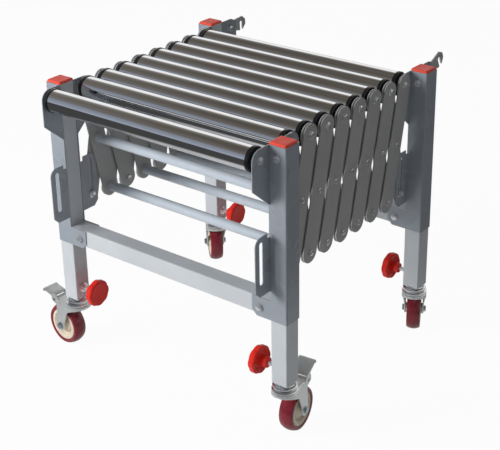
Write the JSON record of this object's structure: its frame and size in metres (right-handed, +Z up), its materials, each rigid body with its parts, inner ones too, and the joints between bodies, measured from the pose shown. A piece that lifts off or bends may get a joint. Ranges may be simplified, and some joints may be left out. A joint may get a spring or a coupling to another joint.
{
  "type": "expanding roller table",
  "caption": "Expanding gravity roller table on swivel casters: chromed rollers on crossed flat bars between two folded steel post frames with sliding legs.",
  "frame": {"origin": "on the floor, midway between the four posts", "axes": "+X along the rollers to the right, +Y from the front frame to the rear frame, +Z up"},
  "size_m": [0.7374, 0.6959, 0.6783],
  "materials": {
    "painted_post": "glossy blue-grey stove enamel",
    "tube_steel": "bright zinc plated tube",
    "bar_steel": "satin grey",
    "roller_chrome": "polished chrome tube with black end caps",
    "zinc": "zinc plated",
    "red_plastic": "moulded red",
    "hub_plastic": "cream moulding",
    "tread_rubber": "dark maroon elastic tread"
  },
  "bodies": {
    "front_frame": {"front_left_post": "painted_post", "front_right_post": "painted_post", "front_leg_sleeves": "tube_steel", "front_crossbar": "tube_steel", "front_end_caps": "red_plastic", "front_fasteners": "zinc"},
    "rear_frame": {"rear_left_post": "painted_post", "rear_right_post": "painted_post", "rear_leg_sleeves": "tube_steel", "rear_crossbar": "tube_steel", "rear_end_caps": "red_plastic", "rear_fasteners": "zinc"},
    "inner_arms_1": {"inner_arms_1": "bar_steel"},
    "outer_arms_1": {"outer_arms_1": "bar_steel"},
    "inner_arms_2": {"inner_arms_2": "bar_steel"},
    "outer_arms_2": {"outer_arms_2": "bar_steel"},
    "inner_arms_3": {"inner_arms_3": "bar_steel"},
    "outer_arms_3": {"outer_arms_3": "bar_steel"},
    "inner_arms_4": {"inner_arms_4": "bar_steel"},
    "outer_arms_4": {"outer_arms_4": "bar_steel"},
    "inner_arms_5": {"inner_arms_5": "bar_steel"},
    "outer_arms_5": {"outer_arms_5": "bar_steel"},
    "inner_arms_6": {"inner_arms_6": "bar_steel"},
    "outer_arms_6": {"outer_arms_6": "bar_steel"},
    "inner_arms_7": {"inner_arms_7": "bar_steel"},
    "outer_arms_7": {"outer_arms_7": "bar_steel"},
    "roller_1": {"roller_1": "roller_chrome"},
    "roller_2": {"roller_2": "roller_chrome"},
    "roller_3": {"roller_3": "roller_chrome"},
    "roller_4": {"roller_4": "roller_chrome"},
    "roller_5": {"roller_5": "roller_chrome"},
    "roller_6": {"roller_6": "roller_chrome"},
    "roller_7": {"roller_7": "roller_chrome"},
    "roller_8": {"roller_8": "roller_chrome"},
    "roller_9": {"roller_9": "roller_chrome"},
    "front_left_leg": {"front_left_leg": "tube_steel"},
    "front_left_knob": {"front_left_knob": "red_plastic"},
    "front_left_caster": {"front_left_fork": "zinc"},
    "front_left_wheel": {"front_left_wheel": "hub_plastic", "front_left_tread": "tread_rubber"},
    "front_left_pedal": {"front_left_pedal": "zinc"},
    "front_right_leg": {"front_right_leg": "tube_steel"},
    "front_right_knob": {"front_right_knob": "red_plastic"},
    "front_right_caster": {"front_right_fork": "zinc"},
    "front_right_wheel": {"front_right_wheel": "hub_plastic", "front_right_tread": "tread_rubber"},
    "front_right_pedal": {"front_right_pedal": "zinc"},
    "rear_left_leg": {"rear_left_leg": "tube_steel"},
    "rear_left_knob": {"rear_left_knob": "red_plastic"},
    "rear_left_caster": {"rear_left_fork": "zinc"},
    "rear_left_wheel": {"rear_left_wheel": "hub_plastic", "rear_left_tread": "tread_rubber"},
    "rear_right_leg": {"rear_right_leg": "tube_steel"},
    "rear_right_knob": {"rear_right_knob": "red_plastic"},
    "rear_right_caster": {"rear_right_fork": "zinc"},
    "rear_right_wheel": {"rear_right_wheel": "hub_plastic", "rear_right_tread": "tread_rubber"},
    "left_hook": {"left_hook": "bar_steel"},
    "right_hook": {"right_hook": "bar_steel"}
  },
  "joints": [
    {"name": "extend", "type": "hinge", "parent": "front_frame", "child": "inner_arms_1", "pos_m": [0, -0.203, 0.6425], "axis": [1, 0, 0], "range_deg": [0, 35]},
    {"name": "cross_1", "type": "hinge", "parent": "inner_arms_1", "child": "outer_arms_1", "pos_m": [0, -0.174, 0.51372], "axis": [1, 0, 0], "range_deg": [-75, 2]},
    {"name": "top_1", "type": "hinge", "parent": "outer_arms_1", "child": "inner_arms_2", "pos_m": [0, -0.145, 0.6425], "axis": [1, 0, 0], "range_deg": [-2, 75]},
    {"name": "cross_2", "type": "hinge", "parent": "inner_arms_2", "child": "outer_arms_2", "pos_m": [0, -0.116, 0.51372], "axis": [1, 0, 0], "range_deg": [-75, 2]},
    {"name": "top_2", "type": "hinge", "parent": "outer_arms_2", "child": "inner_arms_3", "pos_m": [0, -0.087, 0.6425], "axis": [1, 0, 0], "range_deg": [-2, 75]},
    {"name": "cross_3", "type": "hinge", "parent": "inner_arms_3", "child": "outer_arms_3", "pos_m": [0, -0.058, 0.51372], "axis": [1, 0, 0], "range_deg": [-75, 2]},
    {"name": "top_3", "type": "hinge", "parent": "outer_arms_3", "child": "inner_arms_4", "pos_m": [0, -0.029, 0.6425], "axis": [1, 0, 0], "range_deg": [-2, 75]},
    {"name": "cross_4", "type": "hinge", "parent": "inner_arms_4", "child": "outer_arms_4", "pos_m": [0, 0, 0.51372], "axis": [1, 0, 0], "range_deg": [-75, 2]},
    {"name": "top_4", "type": "hinge", "parent": "outer_arms_4", "child": "inner_arms_5", "pos_m": [0, 0.029, 0.6425], "axis": [1, 0, 0], "range_deg": [-2, 75]},
    {"name": "cross_5", "type": "hinge", "parent": "inner_arms_5", "child": "outer_arms_5", "pos_m": [0, 0.058, 0.51372], "axis": [1, 0, 0], "range_deg": [-75, 2]},
    {"name": "top_5", "type": "hinge", "parent": "outer_arms_5", "child": "inner_arms_6", "pos_m": [0, 0.087, 0.6425], "axis": [1, 0, 0], "range_deg": [-2, 75]},
    {"name": "cross_6", "type": "hinge", "parent": "inner_arms_6", "child": "outer_arms_6", "pos_m": [0, 0.116, 0.51372], "axis": [1, 0, 0], "range_deg": [-75, 2]},
    {"name": "top_6", "type": "hinge", "parent": "outer_arms_6", "child": "inner_arms_7", "pos_m": [0, 0.145, 0.6425], "axis": [1, 0, 0], "range_deg": [-2, 75]},
    {"name": "cross_7", "type": "hinge", "parent": "inner_arms_7", "child": "outer_arms_7", "pos_m": [0, 0.174, 0.51372], "axis": [1, 0, 0], "range_deg": [-75, 2]},
    {"name": "rear_frame_turn", "type": "hinge", "parent": "outer_arms_7", "child": "rear_frame", "pos_m": [0, 0.203, 0.6425], "axis": [1, 0, 0], "range_deg": [-2, 40]},
    {"name": "roller_1_spin", "type": "hinge", "parent": "front_frame", "child": "roller_1", "pos_m": [0, -0.303, 0.6425], "axis": [1, 0, 0], "continuous": true},
    {"name": "roller_2_spin", "type": "hinge", "parent": "front_frame", "child": "roller_2", "pos_m": [0, -0.203, 0.6425], "axis": [1, 0, 0], "continuous": true},
    {"name": "roller_3_spin", "type": "hinge", "parent": "outer_arms_1", "child": "roller_3", "pos_m": [0, -0.145, 0.6425], "axis": [1, 0, 0], "continuous": true},
    {"name": "roller_4_spin", "type": "hinge", "parent": "outer_arms_2", "child": "roller_4", "pos_m": [0, -0.087, 0.6425], "axis": [1, 0, 0], "continuous": true},
    {"name": "roller_5_spin", "type": "hinge", "parent": "outer_arms_3", "child": "roller_5", "pos_m": [0, -0.029, 0.6425], "axis": [1, 0, 0], "continuous": true},
    {"name": "roller_6_spin", "type": "hinge", "parent": "outer_arms_4", "child": "roller_6", "pos_m": [0, 0.029, 0.6425], "axis": [1, 0, 0], "continuous": true},
    {"name": "roller_7_spin", "type": "hinge", "parent": "outer_arms_5", "child": "roller_7", "pos_m": [0, 0.087, 0.6425], "axis": [1, 0, 0], "continuous": true},
    {"name": "roller_8_spin", "type": "hinge", "parent": "outer_arms_6", "child": "roller_8", "pos_m": [0, 0.145, 0.6425], "axis": [1, 0, 0], "continuous": true},
    {"name": "roller_9_spin", "type": "hinge", "parent": "rear_frame", "child": "roller_9", "pos_m": [0, 0.203, 0.6425], "axis": [1, 0, 0], "continuous": true},
    {"name": "front_left_leg_slide", "type": "slide", "parent": "front_frame", "child": "front_left_leg", "axis": [0, 0, -1], "range_m": [0, 0.35]},
    {"name": "front_left_knob_turn", "type": "hinge", "parent": "front_frame", "child": "front_left_knob", "pos_m": [-0.298, -0.253, 0.168], "axis": [1, 0, 0], "range_deg": [0, 720]},
    {"name": "front_left_swivel", "type": "hinge", "parent": "front_left_leg", "child": "front_left_caster", "pos_m": [-0.298, -0.253, 0.12], "axis": [0, 0, 1], "continuous": true},
    {"name": "front_left_roll", "type": "hinge", "parent": "front_left_caster", "child": "front_left_wheel", "pos_m": [-0.34382, -0.24899, 0.05], "axis": [-0.0872, -0.9962, 0], "continuous": true},
    {"name": "front_left_brake", "type": "hinge", "parent": "front_left_caster", "child": "front_left_pedal", "pos_m": [-0.35976, -0.2476, 0.114], "axis": [0.0872, 0.9962, 0], "range_deg": [0, 24]},
    {"name": "front_right_leg_slide", "type": "slide", "parent": "front_frame", "child": "front_right_leg", "axis": [0, 0, -1], "range_m": [0, 0.35]},
    {"name": "front_right_knob_turn", "type": "hinge", "parent": "front_frame", "child": "front_right_knob", "pos_m": [0.298, -0.253, 0.168], "axis": [1, 0, 0], "range_deg": [-720, 0]},
    {"name": "front_right_swivel", "type": "hinge", "parent": "front_right_leg", "child": "front_right_caster", "pos_m": [0.298, -0.253, 0.12], "axis": [0, 0, 1], "continuous": true},
    {"name": "front_right_roll", "type": "hinge", "parent": "front_right_caster", "child": "front_right_wheel", "pos_m": [0.29239, -0.20734, 0.05], "axis": [-0.9925, -0.1219, 0], "continuous": true},
    {"name": "front_right_brake", "type": "hinge", "parent": "front_right_caster", "child": "front_right_pedal", "pos_m": [0.29044, -0.19146, 0.114], "axis": [0.9925, 0.1219, 0], "range_deg": [-24, 0]},
    {"name": "rear_left_leg_slide", "type": "slide", "parent": "rear_frame", "child": "rear_left_leg", "axis": [0, 0, -1], "range_m": [0, 0.35]},
    {"name": "rear_left_knob_turn", "type": "hinge", "parent": "rear_frame", "child": "rear_left_knob", "pos_m": [-0.298, 0.253, 0.168], "axis": [1, 0, 0], "range_deg": [0, 720]},
    {"name": "rear_left_swivel", "type": "hinge", "parent": "rear_left_leg", "child": "rear_left_caster", "pos_m": [-0.298, 0.253, 0.12], "axis": [0, 0, 1], "continuous": true},
    {"name": "rear_left_roll", "type": "hinge", "parent": "rear_left_caster", "child": "rear_left_wheel", "pos_m": [-0.33164, 0.28437, 0.05], "axis": [-0.682, -0.7314, 0], "continuous": true},
    {"name": "rear_right_leg_slide", "type": "slide", "parent": "rear_frame", "child": "rear_right_leg", "axis": [0, 0, -1], "range_m": [0, 0.35]},
    {"name": "rear_right_knob_turn", "type": "hinge", "parent": "rear_frame", "child": "rear_right_knob", "pos_m": [0.298, 0.253, 0.168], "axis": [1, 0, 0], "range_deg": [-720, 0]},
    {"name": "rear_right_swivel", "type": "hinge", "parent": "rear_right_leg", "child": "rear_right_caster", "pos_m": [0.298, 0.253, 0.12], "axis": [0, 0, 1], "continuous": true},
    {"name": "rear_right_roll", "type": "hinge", "parent": "rear_right_caster", "child": "rear_right_wheel", "pos_m": [0.2764, 0.29362, 0.05], "axis": [-0.8829, -0.4695, 0], "continuous": true},
    {"name": "left_hook_turn", "type": "hinge", "parent": "rear_frame", "child": "left_hook", "pos_m": [-0.2817, 0.303, 0.6425], "axis": [1, 0, 0], "range_deg": [-89, 81]},
    {"name": "right_hook_turn", "type": "hinge", "parent": "rear_frame", "child": "right_hook", "pos_m": [0.2817, 0.303, 0.6425], "axis": [1, 0, 0], "range_deg": [-110, 60]}
  ],
  "couplings": [
    {"joint": "cross_1", "follows": "extend", "ratio": -2},
    {"joint": "top_1", "follows": "extend", "ratio": 2},
    {"joint": "cross_2", "follows": "extend", "ratio": -2},
    {"joint": "top_2", "follows": "extend", "ratio": 2},
    {"joint": "cross_3", "follows": "extend", "ratio": -2},
    {"joint": "top_3", "follows": "extend", "ratio": 2},
    {"joint": "cross_4", "follows": "extend", "ratio": -2},
    {"joint": "top_4", "follows": "extend", "ratio": 2},
    {"joint": "cross_5", "follows": "extend", "ratio": -2},
    {"joint": "top_5", "follows": "extend", "ratio": 2},
    {"joint": "cross_6", "follows": "extend", "ratio": -2},
    {"joint": "top_6", "follows": "extend", "ratio": 2},
    {"joint": "cross_7", "follows": "extend", "ratio": -2},
    {"joint": "rear_frame_turn", "follows": "extend", "ratio": 1}
  ]
}
